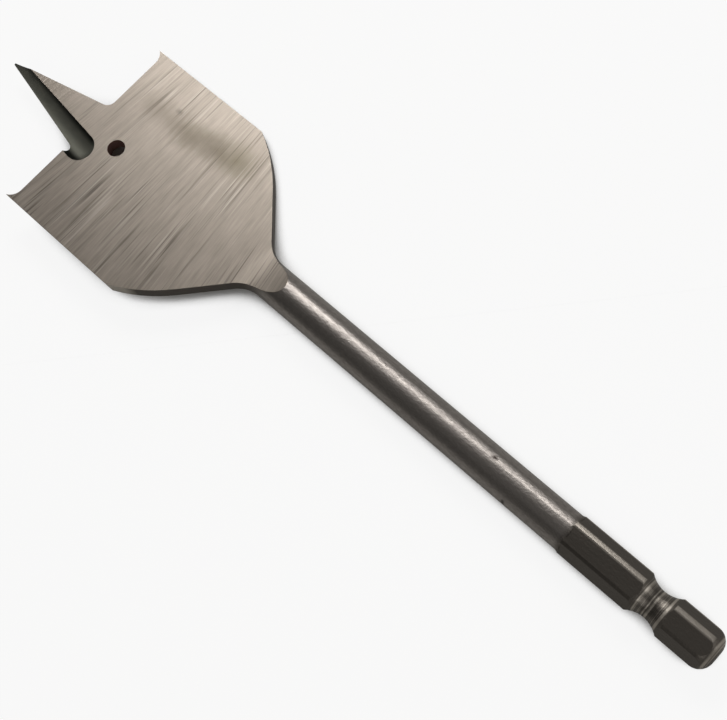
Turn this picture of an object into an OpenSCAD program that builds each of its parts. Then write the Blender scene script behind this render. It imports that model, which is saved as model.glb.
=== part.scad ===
// Spade drill bit for wood: a flat ground blade with a fluted centre point, two
// cutting lips and two spurs, on a round shank that ends in a grooved hex.
// It lies on the table along X with the point towards +X. The shank rests on the
// table and the blade leans on one of its side edges.

/* [Shank] */
// Length from the shank end to the tip of the point
overall_len = 160; // [140:1:180]
// Diameter of the round shank
shank_d = 6.6; // [5.5:0.1:8]
// Hex across the flats
hex_af = 6.35; // [6:0.05:7]
// Hex across its slightly rounded corners
hex_ac = 7.0; // [6.8:0.05:7.4]
// Length of the hex from the shank end
hex_len = 27; // [22:0.5:34]
// Length of the cone that leads the hex corners down to the round shank
hex_lead = 0.5; // [0.2:0.1:1.5]
// Turn of the hex flats away from the faces of the blade
hex_turn = 9.5; // [0:0.5:30]
// Radius that rounds the shank end
end_r = 2.4; // [1:0.1:3.2]
// Distance from the shank end to the middle of the groove
groove_x = 11.4; // [9:0.1:13]
// Diameter at the root of the groove
groove_root_d = 4.9; // [4.2:0.1:5.6]
// Radius of the groove's hollow
groove_r = 4.5; // [2.5:0.1:6]

/* [Blade] */
// Width across the side edges
blade_w = 38; // [30:0.5:44]
// Thickness between the ground faces
blade_t = 2.5; // [1.8:0.1:3.5]
// Distance from the shank end to where the shoulder lines meet the round shank
neck_x = 94.8; // [85:0.2:100]
// Angle between a shoulder and the shank
shoulder_angle = 46; // [40:1:55]
// Straight length of a shoulder before it rounds off towards the side edge
shoulder_run = 12.5; // [8:0.5:15]
// Radius that rounds a shoulder off
shoulder_round = 30; // [26:1:45]
// Radius of the fillet from the shank into a shoulder
neck_fillet = 6; // [3:0.5:9]
// Distance from the shank end to the end of the flat ground into the shank
tongue_x = 88; // [80:0.5:92]
// Radius of the wheel that grinds the faces, seen where a face runs out into the shank
wheel_r = 20; // [10:1:40]
// Clearance angle of the side edges
side_relief = 5; // [2:0.5:10]

/* [Point, lips and spurs] */
// Length of the centre point ahead of the lips
point_len = 21.5; // [15:0.5:26]
// Width of the centre point at the lips
point_w = 9.8; // [8:0.1:13]
// Width left at the very tip
tip_w = 0.3; // [0.2:0.05:0.8]
// Radius in the corner between the point and a lip
point_fillet = 1.7; // [0.6:0.1:1.9]
// Clearance angle behind a lip
lip_relief = 8; // [4:1:15]
// Height of a spur above its lip
spur_h = 1.7; // [1:0.1:3]
// Width over which a spur rises from its lip
spur_w = 2.4; // [1.6:0.1:4]

/* [Flutes and hole] */
// Radius of the hollow ground into each flank of the point
flute_r = 3; // [2.8:0.05:4]
// Radius of the round gullet that ends a flute, measured on the face
gullet_r = 2.75; // [2.2:0.05:2.79]
// Distance of the gullet's middle behind the lips
gullet_back = 1.9; // [0.5:0.1:3]
// Distance of the gullet's middle from the axis
gullet_y = 4; // [3.5:0.1:5]
// Angle at which a flute runs in towards the tip
flute_turn = 7.5; // [5:0.5:9]
// Angle at which a flute gets shallower towards the tip
flute_rise = 1.6; // [1.2:0.1:3]
// Diameter of the hole for hanging the bit or pulling wire
hole_d = 3.3; // [2:0.1:5]
// Distance of the hole's middle behind the lips
hole_back = 7.5; // [6:0.5:15]

/* [Hidden] */
$fn = 96;
shank_r = shank_d / 2;
half_w = blade_w / 2;
half_t = blade_t / 2;
// Overlap of cutters beyond the surfaces that they cut through
over = 1;
lip_x = overall_len - point_len;
// The shoulder line leaves the shank at the neck and touches its rounding at the turn
turn_x = neck_x + shoulder_run * cos(shoulder_angle);
turn_r = shank_r + shoulder_run * sin(shoulder_angle);
round_x = turn_x + shoulder_round * sin(shoulder_angle);
round_y = turn_r - shoulder_round * cos(shoulder_angle);
// Distance from the neck to either end of its fillet
fillet_run = neck_fillet * tan(shoulder_angle / 2);
// The wheel touches the face here and leaves the shank's surface at the tongue's end
wheel_x = tongue_x + sqrt(pow(wheel_r, 2) - pow(wheel_r - (shank_r - half_t), 2));
// Fall of the point's flank per length
flank = (point_w - tip_w) / 2 / point_len;
flank_len = sqrt(1 + pow(flank, 2));
point_fillet_y = point_w / 2 + point_fillet * (flank_len - flank);
// The spur's hollow side is tangent to the lip and ends at the side edge
spur_r = (pow(spur_w, 2) + pow(spur_h, 2)) / (2 * spur_h);
// Height of the flute's middle line over the blade's middle plane, at the gullet
flute_z = half_t + sqrt(pow(flute_r, 2) - pow(gullet_r, 2));
// Lean that brings the shank and one side edge down on the table together
lie_roll = asin(shank_r / half_w) - asin(half_t / half_w);

// Outline of the shoulders from the axis out, with X along the bit
module shoulder_outline() {
    polygon([[tongue_x, 0], [tongue_x, shank_r], [neck_x, shank_r], [turn_x, turn_r], [turn_x, 0]]);
    difference() {
        polygon([
            [neck_x - fillet_run, shank_r],
            [neck_x, shank_r],
            [neck_x + fillet_run * cos(shoulder_angle), shank_r + fillet_run * sin(shoulder_angle)]
        ]);
        translate([neck_x - fillet_run, shank_r + neck_fillet])
            circle(neck_fillet);
    }
    intersection() {
        translate([turn_x, 0])
            square([overall_len - turn_x, half_w]);
        union() {
            translate([round_x, round_y])
                circle(shoulder_round);
            translate([round_x, 0])
                square([overall_len - round_x, half_w]);
        }
    }
}

// Outline of the hex stretch from the axis out, with the rounded end
module hex_outline() {
    intersection() {
        square([hex_len + hex_lead, hex_ac / 2]);
        union() {
            translate([end_r, hex_ac / 2 - end_r])
                circle(end_r);
            square([hex_len + hex_lead, hex_ac / 2 - end_r]);
            polygon([
                [end_r, 0],
                [end_r, hex_ac / 2],
                [hex_len, hex_ac / 2],
                [hex_len + hex_lead, shank_r],
                [hex_len + hex_lead, 0]
            ]);
        }
    }
}

// Turns an outline with X along the bit into a round body about the X axis
module turned() {
    rotate([0, 90, 0])
        rotate_extrude()
            rotate(90)
                mirror([0, 1])
                    children();
}

module hex_end() {
    intersection() {
        turned() hex_outline();
        rotate([-hex_turn, 0, 0])
            rotate([0, 90, 0])
                rotate(30)
                    cylinder(h = hex_len + hex_lead, d = hex_af / cos(30), $fn = 6);
    }
}

module round_shank() {
    translate([hex_len, 0, 0])
        rotate([0, 90, 0])
            cylinder(h = neck_x - hex_len, d = shank_d);
}

module groove_cut() {
    turned()
        intersection() {
            translate([groove_x, groove_root_d / 2 + groove_r])
                circle(groove_r);
            square([hex_len, hex_ac]);
        }
}

// Removes everything over one face, with the wheel's run-out into the shank
module face_cut() {
    rotate([90, 0, 0])
        linear_extrude(height = blade_w + 2 * over, center = true) {
            translate([wheel_x, half_t + wheel_r])
                circle(wheel_r);
            translate([wheel_x, half_t])
                square([overall_len - wheel_x + over, half_w]);
        }
}

// Room ahead of one lip: out from the point's flank to the hollow side of the spur
module lip_outline() {
    difference() {
        polygon([
            [0, point_w / 2],
            [point_len, tip_w / 2],
            [point_len + over, tip_w / 2],
            [point_len + over, half_w + over],
            [0, half_w + over]
        ]);
        difference() {
            polygon([
                [-over, point_w / 2 - over],
                [-over, point_fillet_y],
                [point_fillet, point_fillet_y],
                [
                    point_fillet - (point_fillet + over) * flank / flank_len,
                    point_fillet_y - (point_fillet + over) / flank_len
                ]
            ]);
            translate([point_fillet, point_fillet_y])
                circle(point_fillet);
        }
        difference() {
            translate([-over, half_w - spur_w])
                square([spur_h + over, spur_w + 2 * over]);
            translate([spur_r, half_w - spur_w])
                circle(spur_r);
        }
    }
}

// The lip falls away behind its cutting edge on the leading face
module lip_cut() {
    translate([lip_x, 0, half_t])
        rotate([0, lip_relief, 0])
            linear_extrude(height = 4 * blade_t, center = true)
                lip_outline();
}

// Hollow along one flank of the point, ending in the round gullet behind the lip
module flute_cut() {
    translate([lip_x - gullet_back, gullet_y, flute_z]) {
        sphere(flute_r);
        rotate([0, 90 - flute_rise, -flute_turn])
            cylinder(h = point_len + gullet_back + 2 * flute_r, r = flute_r);
    }
}

// The side edge falls away behind its leading corner
module side_cut() {
    translate([turn_x, half_w, half_t])
        rotate([-side_relief, 0, 0])
            translate([0, 0, -2 * blade_t])
                cube([overall_len - turn_x, 2 * over, 2 * blade_t]);
}

// All cuts of one half, led by the upper face on the +Y side
module half_cuts() {
    face_cut();
    lip_cut();
    flute_cut();
    side_cut();
}

module hole_cut() {
    translate([lip_x - hole_back, 0, -blade_t])
        cylinder(h = 2 * blade_t, d = hole_d);
}

module spade_bit() {
    color("silver")
        translate([-overall_len / 2, 0, shank_r])
            rotate([lie_roll, 0, 0])
                difference() {
                    union() {
                        hex_end();
                        round_shank();
                        turned() shoulder_outline();
                    }
                    groove_cut();
                    half_cuts();
                    rotate([180, 0, 0])
                        half_cuts();
                    hole_cut();
                }
}

spade_bit();
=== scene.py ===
"""Looks of the spade drill bit: ground blade, dark edges, dark hollows with painted shade on their steep
sides, satin shank, on white paper.
"""

import math

import bpy
import numpy as np
from mathutils import Matrix, Vector

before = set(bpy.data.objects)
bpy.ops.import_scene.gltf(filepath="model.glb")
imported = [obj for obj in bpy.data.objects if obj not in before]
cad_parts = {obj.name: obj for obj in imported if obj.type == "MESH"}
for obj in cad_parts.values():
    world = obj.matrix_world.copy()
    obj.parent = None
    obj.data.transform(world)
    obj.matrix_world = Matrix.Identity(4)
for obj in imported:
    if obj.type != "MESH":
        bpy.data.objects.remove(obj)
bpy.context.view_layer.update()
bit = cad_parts["spade_bit"]

# Sizes of the bit in mm; X runs along its axis from the shank end, Z stands square on the blade
MM = 0.001
OVERALL_LEN = 160.0
SHANK_R = 3.3
HEX_END_X = 27.0
HEX_CORNER_R = 3.5
HEX_FLAT_R = 3.175
TONGUE_X = 88.0
NECK_X = 94.8
SIDE_X = 113.0
LIP_X = 138.5
HALF_W = 19.0
HALF_T = 1.25
HOLE_X = 131.0
HOLE_R = 1.65
# The flutes and their gullets lie past this X and within this half width
GULLET_X = 133.2
FLUTE_HALF_W = 7.0
# The grinding wheel's radius, and where its arc runs out into the flat faces
WHEEL_R = 20.0
WHEEL_X = TONGUE_X + math.sqrt(WHEEL_R**2 - (WHEEL_R - SHANK_R + HALF_T) ** 2)
FACE_LIFT = WHEEL_R + HALF_T
# Lean of the lying bit about its axis
LEAN = math.asin(SHANK_R / HALF_W) - math.asin(HALF_T / HALF_W)

# Stretches in mm over which one finish passes into the next
TONGUE_START = {"From Min": TONGUE_X - 0.1, "From Max": TONGUE_X + 0.2}
FACE_RIM = {"From Min": FACE_LIFT - 0.08, "From Max": FACE_LIFT - 0.02}
EDGE_START = {"From Min": NECK_X - 4, "From Max": NECK_X}
SIDE_START = {"From Min": SIDE_X - 2, "From Max": SIDE_X}
FLUTE_START = {"From Min": GULLET_X, "From Max": GULLET_X + 0.3}
FLUTE_RIM = {"From Min": FLUTE_HALF_W, "From Max": FLUTE_HALF_W - 0.3}
HOLE_RIM = {"From Min": HOLE_R + 0.7, "From Max": HOLE_R + 0.6}
HEX_START = {"From Min": HEX_END_X + 1, "From Max": HEX_END_X}
HEX_SKIN = {"From Min": HEX_FLAT_R - 0.12, "From Max": HEX_FLAT_R - 0.02}
CORNER_RIM = {"From Min": HEX_CORNER_R - 0.13, "From Max": HEX_CORNER_R - 0.03}
# Across Y: the side towards the long window, where the hexagon corners get their painted highlight
HIGHLIT_SIDE = {"From Min": 1.0, "From Max": 0.0}
UPPER_SIDE = {"From Min": 0.0, "From Max": 0.5}
# The ground stretch of the side edge begins this much sooner at the +Y edge than on the axis
SIDE_REACH = 3.0

# Grain of each finish in mm along X, Y and Z. Real grinding lines are a few hundredths of a millimetre
# wide, too fine to show, so they are drawn 0.28 mm wide.
GRINDING_LINE = (0.28, 5.0, 5.0)
GRINDING_BAND = (0.8, 10.0, 10.0)
FACE_CLOUD = (7.0, 9.0, 9.0)
SCRATCH_BUNDLE = (3.5, 16.0, 16.0)
BAR_SKIN = (0.8, 0.5, 0.5)
BAR_STREAK = (14.0, 0.5, 0.5)
TURNING_RING = (0.5, 30.0, 30.0)
OIL_FILM = (2.0, 1.0, 1.0)
# How strongly finer noise joins in
NOISE_ROUGHNESS = 0.6
# Stretches of noise from one end of a tone to the other
FACE_TONES = {"From Min": 0.32, "From Max": 0.68}
BUNDLE_TONES = {"From Min": 0.40, "From Max": 0.62}
RING_TONES = {"From Min": 0.45, "From Max": 0.6}
PLAIN_TONES = {"From Min": 0.3, "From Max": 0.7}
# How far sideways a flute's surface faces, from its floor to its steep sides, which get painted shade
SHADED_SIDE_FACING = {"From Min": 0.45, "From Max": 0.75}
# Share of open sky over the paper, from where it is dark to where it is clear
CLEAR_PAPER = {"From Min": 0.42, "From Max": 0.6}

# Roughness of the finishes from one end of their tones to the other
FACE_DULLNESS = {"To Min": 0.34, "To Max": 0.42}
FLUTE_DULLNESS = {"To Min": 0.60, "To Max": 0.72}
BAR_DULLNESS = {"To Min": 0.50, "To Max": 0.44}
BAR_BRIGHTEST = 0.38
HEX_ROUGHNESS = 0.50
EDGE_ROUGHNESS = 0.60
SIDE_ROUGHNESS = 0.40
HOLE_ROUGHNESS = 0.60

# Bump: its height in mm, its strength, and its parts as multiples of the height
BUMP_HEIGHT = 0.02
BUMP_STRENGTH = 0.25
SKIN_RELIEF = 10.0
SKIN_LEVEL = -4.5
RING_RELIEF = 3.0
PIT_RELIEF = -8.0

# A Mix node's settings for colours
COLOURS = {"out": "Result", "data_type": "RGBA"}
WHITE = (1, 1, 1, 1)


def linear(hex_colour):
    """sRGB hex string to linear RGBA."""
    srgb = np.array([int(hex_colour[i : i + 2], 16) for i in (1, 3, 5)]) / 255
    rgb = np.where(srgb <= 0.04045, srgb / 12.92, ((srgb + 0.055) / 1.055) ** 2.4)
    return (*map(float, rgb), 1.0)


def add(tree, kind, inputs, out=0, **settings):
    """Adds a node with its settings, fills its inputs with values or links, and gives an output."""
    node = tree.nodes.new(kind)
    for name, value in settings.items():
        setattr(node, name, value)
    for place, value in inputs.items():
        if isinstance(value, bpy.types.NodeSocket):
            tree.links.new(value, node.inputs[place])
        else:
            node.inputs[place].default_value = value
    return node.outputs[out] if len(node.outputs) else None


def new_material(name):
    """Empty node material and its tree."""
    material = bpy.data.materials.new(name)
    material.use_nodes = True
    material.node_tree.nodes.clear()
    return material, material.node_tree


def bit_place(tree):
    """Object coordinates turned into the bit's own axes in mm, as a vector and as X, Y and Z."""
    start = Matrix.Rotation(-LEAN, 3, "X") @ Vector((OVERALL_LEN / 2, 0, -SHANK_R))
    lying = add(tree, "ShaderNodeTexCoord", {}, out="Object")
    place = add(
        tree,
        "ShaderNodeMapping",
        {"Vector": lying, "Location": start, "Rotation": (-LEAN, 0, 0), "Scale": (1 / MM,) * 3},
    )
    x = add(tree, "ShaderNodeSeparateXYZ", {"Vector": place})
    return place, x, x.node.outputs["Y"], x.node.outputs["Z"]


def stretched_noise(tree, at, grain_mm, detail):
    """Noise whose grain is grain_mm long along each axis."""
    scale = [1 / length for length in grain_mm]
    scaled = add(tree, "ShaderNodeMapping", {"Vector": at, "Scale": scale})
    return add(
        tree,
        "ShaderNodeTexNoise",
        {"Vector": scaled, "Scale": 1.0, "Detail": detail, "Roughness": NOISE_ROUGHNESS},
    )


def upper_spot(tree, place, z, centre, reach, ragged, depth):
    """Full depth inside an ellipse on the upper side, 0 at its rim, which noise pushes about."""
    scale = (1 / reach[0], 1 / reach[1], 0)
    start = (-centre[0] / reach[0], -centre[1] / reach[1], 0)
    inside = add(tree, "ShaderNodeMapping", {"Vector": place, "Location": start, "Scale": scale})
    away = add(tree, "ShaderNodeVectorMath", {0: inside}, out="Value", operation="LENGTH")
    # The rim has about one and a half bays in the ellipse's shorter reach
    bays = 1.5 / min(reach)
    uneven = add(tree, "ShaderNodeTexNoise", {"Vector": place, "Scale": bays, "Detail": 3.0})
    pushed = add(tree, "ShaderNodeMath", {0: uneven, 1: ragged, 2: away}, operation="MULTIPLY_ADD")
    upper = add(tree, "ShaderNodeMapRange", {"Value": z, **UPPER_SIDE, "To Max": depth})
    return add(
        tree,
        "ShaderNodeMapRange",
        {"Value": pushed, "From Min": 1 + ragged / 2, "From Max": ragged / 2, "To Max": upper},
        interpolation_type="SMOOTHSTEP",
    )


def ground_face(tree, place, x, y, z):
    """Face ground across: colour, roughness and relief of lines in a slight fan, scratches, a stain."""
    # Lines slant across the axis one way at the neck, and by the lips slightly the other way
    neck_slant, lip_slant = 0.2, -0.09
    slant = add(
        tree,
        "ShaderNodeMapRange",
        {"Value": x, "From Min": NECK_X, "From Max": LIP_X, "To Min": neck_slant, "To Max": lip_slant},
        clamp=False,
    )
    fanned = add(tree, "ShaderNodeMath", {0: y, 1: slant, 2: x}, operation="MULTIPLY_ADD")
    at = add(tree, "ShaderNodeCombineXYZ", {"X": fanned, "Y": y, "Z": z})
    fine = stretched_noise(tree, at, GRINDING_LINE, detail=2.0)
    coarse = stretched_noise(tree, at, GRINDING_BAND, detail=3.0)
    cloud = stretched_noise(tree, place, FACE_CLOUD, detail=3.0)

    band_share, cloud_share, cloud_dullness = 0.5, 0.3, 0.4
    tone = add(tree, "ShaderNodeMix", {"Factor": band_share, "A": fine, "B": coarse})
    patchy = add(tree, "ShaderNodeMix", {"Factor": cloud_share, "A": tone, "B": cloud})
    shade = add(tree, "ShaderNodeMapRange", {"Value": patchy, **FACE_TONES})
    dark, light = linear("#7a7269"), linear("#988f85")
    colour = add(tree, "ShaderNodeMix", {"Factor": shade, "A": dark, "B": light}, **COLOURS)

    # Scratches over the lines: colour, depth, the noise from which they show, grain in mm
    marks = (
        ("#4a443e", 0.65, (0.55, 0.66), (0.45, 24.0, 24.0)),
        ("#c9c2b7", 0.22, (0.57, 0.69), (0.42, 26.0, 26.0)),
    )
    crowd = stretched_noise(tree, at, SCRATCH_BUNDLE, detail=1.0)
    for hex_colour, depth, (faint, full), grain_mm in marks:
        bundle = add(tree, "ShaderNodeMapRange", {"Value": crowd, **BUNDLE_TONES, "To Max": depth})
        noise = stretched_noise(tree, at, grain_mm, detail=1.0)
        scratch = add(
            tree,
            "ShaderNodeMapRange",
            {"Value": noise, "From Min": faint, "From Max": full, "To Max": bundle},
        )
        mark = linear(hex_colour)
        colour = add(tree, "ShaderNodeMix", {"Factor": scratch, "A": colour, "B": mark}, **COLOURS)

    # Handling leaves a dull brown-grey band beside the hole, a faint tail of it and a small dark spot:
    # colour, depth, then centre and reach in mm, and how ragged the rim is
    stains = (
        ("#5a5347", 0.65, (122.5, -10.2), (6.5, 4.2), 0.6),
        ("#554e42", 0.70, (116.6, -11.2), (6.5, 4.4), 0.6),
        ("#5c5646", 0.65, (111.8, -11.9), (5.5, 5.0), 0.6),
        ("#6a6258", 0.50, (130.5, -10.5), (7.0, 3.6), 0.6),
        ("#5d5750", 0.60, (127.2, -12.3), (1.2, 0.8), 0.5),
    )
    for hex_colour, depth, centre, reach, ragged in stains:
        stain = upper_spot(tree, place, z, centre, reach, ragged, depth)
        mark = linear(hex_colour)
        colour = add(tree, "ShaderNodeMix", {"Factor": stain, "A": colour, "B": mark}, **COLOURS)

    dull = add(tree, "ShaderNodeMix", {"Factor": cloud_dullness, "A": fine, "B": cloud})
    rough = add(tree, "ShaderNodeMapRange", {"Value": dull, **PLAIN_TONES, **FACE_DULLNESS})
    # The bright scratches, which come last, are cut into the lines
    relief = add(tree, "ShaderNodeMath", {0: fine, 1: scratch}, operation="SUBTRACT")
    return colour, rough, relief


def drawn_bar(tree, place, x, y, z):
    """Drawn steel of the shank: colour, roughness and relief, dull, with hexagon corners lightened as
    wear and as a painted highlight.
    """
    skin = stretched_noise(tree, place, BAR_SKIN, detail=2.0)
    drawn = stretched_noise(tree, place, BAR_STREAK, detail=2.0)
    streak_share = 0.4
    tone = add(tree, "ShaderNodeMix", {"Factor": streak_share, "A": skin, "B": drawn})
    shade = add(tree, "ShaderNodeMapRange", {"Value": tone, **PLAIN_TONES})
    dark, light = linear("#7d7773"), linear("#98928c")
    colour = add(tree, "ShaderNodeMix", {"Factor": shade, "A": dark, "B": light}, **COLOURS)

    # The hexagon and its groove keep a dark skin; what lies nearer to the axis than the flats is groove
    # or shank end
    square = add(tree, "ShaderNodeMapping", {"Vector": place, "Scale": (0, 1, 1)})
    radius = add(tree, "ShaderNodeVectorMath", {0: square}, out="Value", operation="LENGTH")
    hex_stretch = add(tree, "ShaderNodeMapRange", {"Value": x, **HEX_START})
    on_hex = add(tree, "ShaderNodeMapRange", {"Value": radius, **HEX_SKIN, "To Max": hex_stretch})
    # The corners are painted bright, partly as wear and partly as a painted highlight, so those on the
    # +Y side, turned away from the long window, are left out
    highlit_corners = add(tree, "ShaderNodeMapRange", {"Value": y, **HIGHLIT_SIDE, "To Max": on_hex})
    wear_and_highlight = add(tree, "ShaderNodeMapRange", {"Value": radius, **CORNER_RIM, "To Max": highlit_corners})
    dark_skin, highlight_and_wear_colour = linear("#5b5650"), linear("#9f988f")
    colour = add(tree, "ShaderNodeMix", {"Factor": hex_stretch, "A": colour, "B": dark_skin}, **COLOURS)
    colour = add(tree, "ShaderNodeMix", {"Factor": wear_and_highlight, "A": colour, "B": highlight_and_wear_colour}, **COLOURS)
    # The groove shows turning rings
    rings = stretched_noise(tree, place, TURNING_RING, detail=2.0)
    in_groove = add(tree, "ShaderNodeMath", {0: hex_stretch, 1: on_hex}, operation="SUBTRACT")
    ring_shade = add(tree, "ShaderNodeMapRange", {"Value": rings, **RING_TONES, "To Max": in_groove})
    turned = linear("#a39c92")
    colour = add(tree, "ShaderNodeMix", {"Factor": ring_shade, "A": colour, "B": turned}, **COLOURS)

    pitted = add(
        tree, "ShaderNodeMath", {0: skin, 1: SKIN_RELIEF, 2: SKIN_LEVEL}, operation="MULTIPLY_ADD"
    )
    relief = add(
        tree, "ShaderNodeMath", {0: ring_shade, 1: RING_RELIEF, 2: pitted}, operation="MULTIPLY_ADD"
    )
    # A pit on the top of the shank and a nick at its side: centre and reach in mm
    pits = (((42.9, -0.9), (0.9, 0.7)), ((38.0, 3.2), (0.5, 0.4)))
    pit_ragged, pit_depth = 0.6, 1.0
    hollow = linear("#2c2623")
    for centre, reach in pits:
        pit = upper_spot(tree, place, z, centre, reach, pit_ragged, pit_depth)
        colour = add(tree, "ShaderNodeMix", {"Factor": pit, "A": colour, "B": hollow}, **COLOURS)
        relief = add(
            tree, "ShaderNodeMath", {0: pit, 1: PIT_RELIEF, 2: relief}, operation="MULTIPLY_ADD"
        )

    # The shank gets a little brighter from the hexagon to the blade
    handled = add(
        tree,
        "ShaderNodeMapRange",
        {"Value": x, "From Min": HEX_END_X, "From Max": TONGUE_X, **BAR_DULLNESS},
    )
    dull = add(
        tree,
        "ShaderNodeMapRange",
        {"Value": tone, **PLAIN_TONES, "To Min": handled, "To Max": BAR_BRIGHTEST},
    )
    rough = add(tree, "ShaderNodeMix", {"Factor": on_hex, "A": dull, "B": HEX_ROUGHNESS})
    return colour, rough, relief


def hollow_flute(tree, place):
    """Hollow flutes and gullets: colour and roughness of an oily grey floor, with painted shade making
    the steep sides very dark.
    """
    # Painted shade: the more steeply a flute's surface faces sideways, the nearer its colour goes to
    # very dark
    facing = add(tree, "ShaderNodeTexCoord", {}, out="Normal")
    across = add(tree, "ShaderNodeSeparateXYZ", {"Vector": facing}, out="Y")
    steep = add(tree, "ShaderNodeMath", {0: across}, operation="ABSOLUTE")
    shaded_side = add(tree, "ShaderNodeMapRange", {"Value": steep, **SHADED_SIDE_FACING})
    oil = stretched_noise(tree, place, OIL_FILM, detail=3.0)
    dark, light, side_shade = linear("#555751"), linear("#716f65"), linear("#1f201c")
    floor_tone = add(tree, "ShaderNodeMix", {"Factor": oil, "A": dark, "B": light}, **COLOURS)
    colour = add(tree, "ShaderNodeMix", {"Factor": shaded_side, "A": floor_tone, "B": side_shade}, **COLOURS)
    rough = add(tree, "ShaderNodeMapRange", {"Value": oil, **PLAIN_TONES, **FLUTE_DULLNESS})
    return colour, rough


def forged_ground_steel():
    """Forged carbon steel: grey ground faces with lines, darker drawn shank, dark edges, and dark
    hollows with painted shade on their steep sides.
    """
    material, tree = new_material("forged_ground_tool_steel")
    place, x, y, z = bit_place(tree)
    height = add(tree, "ShaderNodeMath", {0: z}, operation="ABSOLUTE")
    half_width = add(tree, "ShaderNodeMath", {0: y}, operation="ABSOLUTE")

    # A ground face is half the blade's thickness from the middle, or on the wheel's arc up to the
    # tongue's end: height and the wheel's drop at that X then add up to FACE_LIFT
    run = add(
        tree,
        "ShaderNodeMapRange",
        {
            "Value": x,
            "From Min": TONGUE_X,
            "From Max": WHEEL_X,
            "To Min": WHEEL_X - TONGUE_X,
            "To Max": 0.0,
        },
    )
    run_square = add(tree, "ShaderNodeMath", {0: run, 1: 2.0}, operation="POWER")
    drop_square = add(tree, "ShaderNodeMath", {0: WHEEL_R**2, 1: run_square}, operation="SUBTRACT")
    drop = add(tree, "ShaderNodeMath", {0: drop_square}, operation="SQRT")
    lift = add(tree, "ShaderNodeMath", {0: height, 1: drop}, operation="ADD")
    past_tongue = add(tree, "ShaderNodeMapRange", {"Value": x, **TONGUE_START})
    on_face = add(tree, "ShaderNodeMapRange", {"Value": lift, **FACE_RIM, "To Max": past_tongue})

    # What isn't face from the neck on: forged shoulder edges, ground sides and lips, flutes, the hole
    off_face = add(tree, "ShaderNodeMath", {0: 1.0, 1: on_face}, operation="SUBTRACT")
    on_edge = add(tree, "ShaderNodeMapRange", {"Value": x, **EDGE_START, "To Max": off_face})
    # The grinding of the side reaches round the corner on the +Y side
    side_run = add(
        tree, "ShaderNodeMath", {0: y, 1: SIDE_REACH / HALF_W, 2: x}, operation="MULTIPLY_ADD"
    )
    on_side = add(tree, "ShaderNodeMapRange", {"Value": side_run, **SIDE_START, "To Max": off_face})
    by_point = add(tree, "ShaderNodeMapRange", {"Value": x, **FLUTE_START, "To Max": off_face})
    in_flute = add(tree, "ShaderNodeMapRange", {"Value": half_width, **FLUTE_RIM, "To Max": by_point})
    from_hole = add(
        tree, "ShaderNodeVectorMath", {0: place, 1: (HOLE_X, 0, 0)}, out="Value", operation="DISTANCE"
    )
    in_hole = add(tree, "ShaderNodeMapRange", {"Value": from_hole, **HOLE_RIM, "To Max": off_face})

    face_colour, face_rough, face_relief = ground_face(tree, place, x, y, z)
    colour, rough, bar_relief = drawn_bar(tree, place, x, y, z)
    flute_colour_and_shade, flute_rough = hollow_flute(tree, place)
    for mask, over_colour, over_rough in (
        (on_face, face_colour, face_rough),
        (on_edge, linear("#605b55"), EDGE_ROUGHNESS),
        (on_side, linear("#b5ada2"), SIDE_ROUGHNESS),
        (in_flute, flute_colour_and_shade, flute_rough),
        (in_hole, linear("#977a71"), HOLE_ROUGHNESS),
    ):
        colour = add(tree, "ShaderNodeMix", {"Factor": mask, "A": colour, "B": over_colour}, **COLOURS)
        rough = add(tree, "ShaderNodeMix", {"Factor": mask, "A": rough, "B": over_rough})

    # The blade keeps one relief over its edges and flutes too, so that it has no step at their rims
    on_blade = add(tree, "ShaderNodeMath", {0: on_face, 1: on_edge}, operation="ADD")
    relief = add(tree, "ShaderNodeMix", {"Factor": on_blade, "A": bar_relief, "B": face_relief})
    bump = add(
        tree,
        "ShaderNodeBump",
        {"Height": relief, "Strength": BUMP_STRENGTH, "Distance": BUMP_HEIGHT * MM},
    )
    shader = add(
        tree,
        "ShaderNodeBsdfPrincipled",
        {"Base Color": colour, "Metallic": 1.0, "Roughness": rough, "Normal": bump},
    )
    add(tree, "ShaderNodeOutputMaterial", {"Surface": shader})
    return material


def smooth_shading():
    """Node group that joins the loose triangles and smooths all but the sharp edges."""
    join_gap = 0.002 * MM
    sharp_angle = math.radians(26)
    tree = bpy.data.node_groups.new("smooth_round_faces", "GeometryNodeTree")
    tree.interface.new_socket("Geometry", in_out="INPUT", socket_type="NodeSocketGeometry")
    tree.interface.new_socket("Geometry", in_out="OUTPUT", socket_type="NodeSocketGeometry")
    start = add(tree, "NodeGroupInput", {})
    joined = add(tree, "GeometryNodeMergeByDistance", {"Geometry": start, "Distance": join_gap})
    smooth = add(
        tree, "GeometryNodeSetShadeSmooth", {"Geometry": joined, "Shade Smooth": True}, domain="FACE"
    )
    angle = add(tree, "GeometryNodeInputMeshEdgeAngle", {}, out="Unsigned Angle")
    blunt = add(
        tree,
        "FunctionNodeCompare",
        {"A": angle, "B": sharp_angle},
        data_type="FLOAT",
        operation="LESS_THAN",
    )
    edges = add(
        tree, "GeometryNodeSetShadeSmooth", {"Geometry": smooth, "Shade Smooth": blunt}, domain="EDGE"
    )
    add(tree, "NodeGroupOutput", {"Geometry": edges})
    return tree


def seen_share(tree, shares):
    """Sum of the given shares for the kinds of ray that look at a surface."""
    total = 0.0
    for ray, share in shares.items():
        path = add(tree, "ShaderNodeLightPath", {}, out=ray)
        total = add(tree, "ShaderNodeMath", {0: path, 1: share, 2: total}, operation="MULTIPLY_ADD")
    return total


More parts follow.
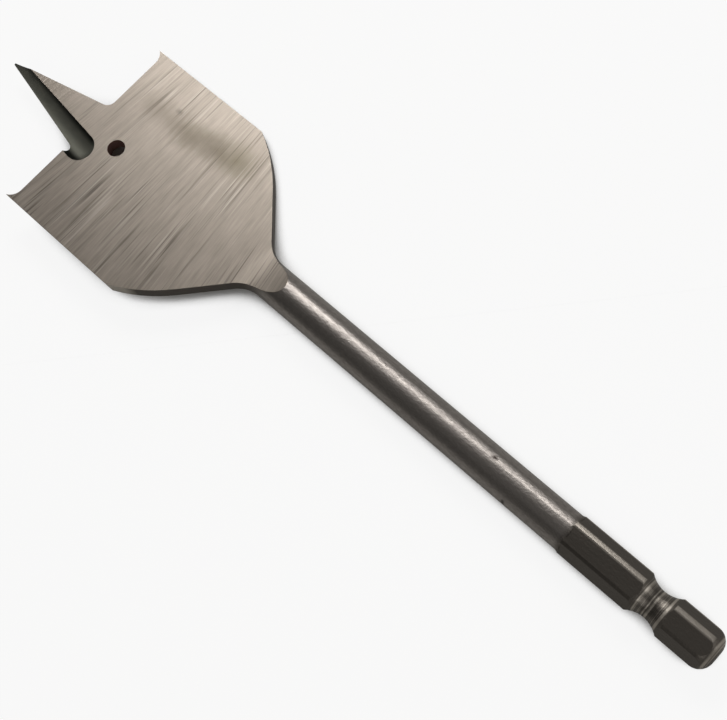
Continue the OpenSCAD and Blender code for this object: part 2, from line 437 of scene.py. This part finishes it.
def white_paper():
    """Matt white paper: nearly white to the eye, greyer in the metal, with the shadow of the bit."""
    material, tree = new_material("matt_white_paper")
    paper = add(tree, "ShaderNodeBsdfDiffuse", {"Color": linear("#d6d5d2")})
    glow = add(tree, "ShaderNodeEmission", {"Color": WHITE, "Strength": 1.0})
    # Paper close under the blade, as seen through the hole, stays in the dark
    shade_reach = 20 * MM
    open_sky = add(tree, "ShaderNodeAmbientOcclusion", {"Distance": shade_reach}, out="AO")
    clear = add(tree, "ShaderNodeMapRange", {"Value": open_sky, **CLEAR_PAPER})
    share = seen_share(tree, {"Is Camera Ray": 0.9, "Is Glossy Ray": 0.04, "Is Transmission Ray": 0.9})
    share_clear = add(tree, "ShaderNodeMath", {0: share, 1: clear}, operation="MULTIPLY")
    mixed = add(tree, "ShaderNodeMixShader", {"Fac": share_clear, 1: paper, 2: glow})
    add(tree, "ShaderNodeOutputMaterial", {"Surface": mixed})
    return material


def floor():
    """Square sheet at table height."""
    half = 12.0
    mesh = bpy.data.meshes.new("floor")
    corners = [(-half, -half, 0), (half, -half, 0), (half, half, 0), (-half, half, 0)]
    mesh.from_pydata(corners, [], [(0, 1, 2, 3)])
    sheet = bpy.data.objects.new("floor", mesh)
    bpy.context.collection.objects.link(sheet)
    mesh.materials.append(white_paper())


def softbox(name, place, size, power):
    """Area lamp of size (long, high) in metres at place, turned to the middle of the bit."""
    lamp = bpy.data.lights.new(name, "AREA")
    lamp.shape = "RECTANGLE"
    lamp.size, lamp.size_y = size
    lamp.energy = power
    thing = bpy.data.objects.new(name, lamp)
    thing.location = place
    thing.rotation_euler = (-Vector(place)).to_track_quat("-Z", "Y").to_euler()
    bpy.context.collection.objects.link(thing)


def room_light():
    """Even dark grey light from all around, in front of what looks like a white background."""
    world = bpy.data.worlds.new("room")
    world.use_nodes = True
    tree = world.node_tree
    tree.nodes.clear()
    white = seen_share(tree, {"Is Camera Ray": 0.9, "Is Glossy Ray": 0.02, "Is Transmission Ray": 0.9})
    grey = linear("#434240")
    colour = add(tree, "ShaderNodeMix", {"Factor": white, "A": grey, "B": WHITE}, **COLOURS)
    background = add(tree, "ShaderNodeBackground", {"Color": colour, "Strength": 1.0})
    add(tree, "ShaderNodeOutputWorld", {"Surface": background})
    bpy.context.scene.world = world


def camera():
    """Camera above the shank end, turned as the photograph was."""
    turn_degrees = (15.806, 12.795, -137.395)
    lens = bpy.data.cameras.new("camera")
    lens.sensor_fit = "HORIZONTAL"
    lens.sensor_width = 36.0
    lens.lens = 65.69
    lens.clip_start = 0.01
    view = bpy.data.objects.new("camera", lens)
    view.location = (-0.08257, 0.01218, 0.20413)
    view.rotation_euler = [math.radians(turn) for turn in turn_degrees]
    bpy.context.collection.objects.link(view)
    bpy.context.scene.camera = view


bit.data.materials.clear()
bit.data.materials.append(forged_ground_steel())
smoothing = bit.modifiers.new("smooth_round_faces", "NODES")
smoothing.node_group = smooth_shading()

floor()
room_light()
# The first two windows give the sheen that the photograph shows, the others light the far sides:
# place and size in metres, power in watts
softbox("long_window", (0.27, -0.32, 0.40), (0.36, 0.18), 1.90)
softbox("low_window", (0.58, 0.05, 0.24), (0.60, 0.20), 0.35)
softbox("back_window", (-0.50, 0.48, 0.60), (0.50, 0.50), 1.7)
softbox("side_window", (-0.62, -0.45, 0.42), (0.50, 0.50), 1.6)
camera()

scene = bpy.context.scene
scene.view_settings.view_transform = "Standard"
